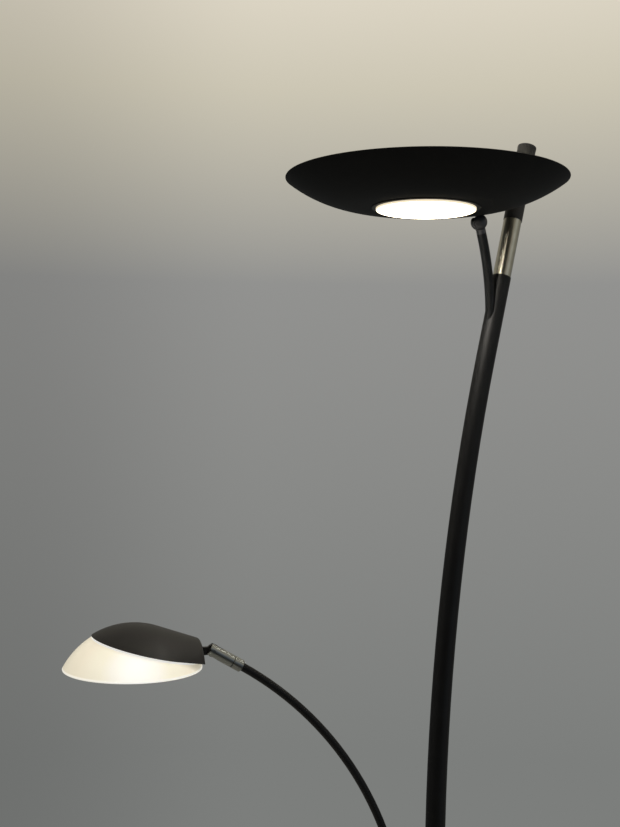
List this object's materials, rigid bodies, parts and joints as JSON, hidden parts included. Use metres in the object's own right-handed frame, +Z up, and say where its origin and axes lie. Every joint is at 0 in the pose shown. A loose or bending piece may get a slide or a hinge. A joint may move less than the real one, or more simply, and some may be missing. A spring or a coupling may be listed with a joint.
{
  "type": "torchiere floor lamp with reading light",
  "caption": "Floor lamp: shallow uplight bowl on a ball swivel beside a back-bent pole, with a domed reading head on a curved side arm.",
  "frame": {"origin": "centre of the base's underside, on the floor", "axes": "+Z up the lower pole; -Y to the front, under the bowl; the pole's top leans back towards +Y; X = 0 is the plane of the pole, its branch and the bowl's centre; the reading arm leaves towards the front left, 29.5 degrees left of -Y"},
  "size_m": [0.3538, 0.4858, 1.8319],
  "materials": {
    "black_powder": "black powder coat on steel tube and sheet, satin",
    "black_spun": "black powder coat on spun sheet metal, satin",
    "black_steel": "black lacquered turned steel",
    "cast_weight": "rough cast",
    "foam_pad": "black foam rubber",
    "zinc_steel": "zinc plated",
    "nickel": "turned steel, nickel plated, satin",
    "black_rubber": "moulded",
    "black_plastic": "moulded, fine matt",
    "nylon": "moulded nylon",
    "aluminium_plate": "turned plate",
    "lit_diffuser": "opal acrylic, lit from behind",
    "opal_shade": "opal glass, lit from inside",
    "white_board": "white solder resist",
    "green_board": "green solder resist",
    "led_chip": "phosphor over the chip",
    "grey_button": "moulded, fine matt"
  },
  "bodies": {
    "stand": {"base_pad": "foam_pad", "base_weight": "cast_weight", "base_cover": "black_powder", "base_nipple": "zinc_steel", "base_nut": "zinc_steel", "base_washer": "zinc_steel", "cord_inlet": "black_rubber", "base_flange": "black_powder", "pole_plug": "zinc_steel", "pole_lower": "black_powder", "lower_joiner": "nickel", "pole_middle": "black_powder", "upper_joiner": "nickel", "pole_upper": "black_powder", "pole_connector": "nickel", "pole_tip": "black_powder", "pole_end_cap": "black_plastic", "bowl_branch": "black_powder", "swivel_lower": "black_steel", "swivel_washer": "nylon", "housing_body": "black_plastic", "housing_cover": "black_plastic", "cover_screws": "zinc_steel", "grub_screws": "zinc_steel", "dimmer_board": "green_board", "tact_switches": "black_plastic", "arm_bush": "nylon"},
    "bowl": {"bowl_shell": "black_spun", "swivel_upper": "black_steel", "swivel_screw": "zinc_steel", "swivel_nut_washer": "zinc_steel", "swivel_nut": "zinc_steel", "bowl_carrier": "aluminium_plate", "down_ring": "black_plastic", "down_diffuser": "lit_diffuser", "down_led_board": "white_board", "down_leds": "led_chip", "up_led_board": "white_board", "up_leds": "led_chip", "up_diffuser": "lit_diffuser", "up_ring": "black_plastic", "carrier_screws": "zinc_steel"},
    "reading_arm": {"arm_tube": "black_powder", "arm_sleeve": "nickel", "arm_ferrule": "nickel"},
    "fork": {"head_fork": "nickel", "fork_pin": "nickel"},
    "reading_head": {"head_tongue": "black_steel", "head_cap": "black_spun", "head_glass": "opal_shade", "head_sink": "aluminium_plate", "reading_led_board": "white_board", "reading_leds": "led_chip", "reading_diffuser": "lit_diffuser", "head_screw": "zinc_steel"},
    "bowl_switch": {"bowl_button": "grey_button"},
    "head_switch": {"head_button": "grey_button"}
  },
  "joints": [
    {"name": "bowl_tilt", "type": "hinge", "parent": "stand", "child": "bowl", "pos_m": [0, 0.06042, 1.73589], "axis": [1, 0, 0], "range_deg": [-5, 25]},
    {"name": "arm_swing", "type": "hinge", "parent": "stand", "child": "reading_arm", "pos_m": [-0.01492, -0.02637, 0.96], "axis": [0, 0, 1], "range_deg": [-120, 120]},
    {"name": "head_twist", "type": "hinge", "parent": "reading_arm", "child": "fork", "pos_m": [-0.0989, -0.17481, 1.29401], "axis": [-0.4253, -0.7517, 0.5041], "range_deg": [-90, 90]},
    {"name": "head_tilt", "type": "hinge", "parent": "fork", "child": "reading_head", "pos_m": [-0.11264, -0.19909, 1.31029], "axis": [0.8704, -0.4924, 0], "range_deg": [-30, 60]},
    {"name": "press_bowl_button", "type": "slide", "parent": "stand", "child": "bowl_switch", "axis": [-0.8704, 0.4924, 0], "range_m": [0, 0.0008], "stiffness_N_per_m": 1200, "springref_m": -0.0005},
    {"name": "press_head_button", "type": "slide", "parent": "stand", "child": "head_switch", "axis": [-0.8704, 0.4924, 0], "range_m": [0, 0.0008], "stiffness_N_per_m": 1200, "springref_m": -0.0005}
  ]
}
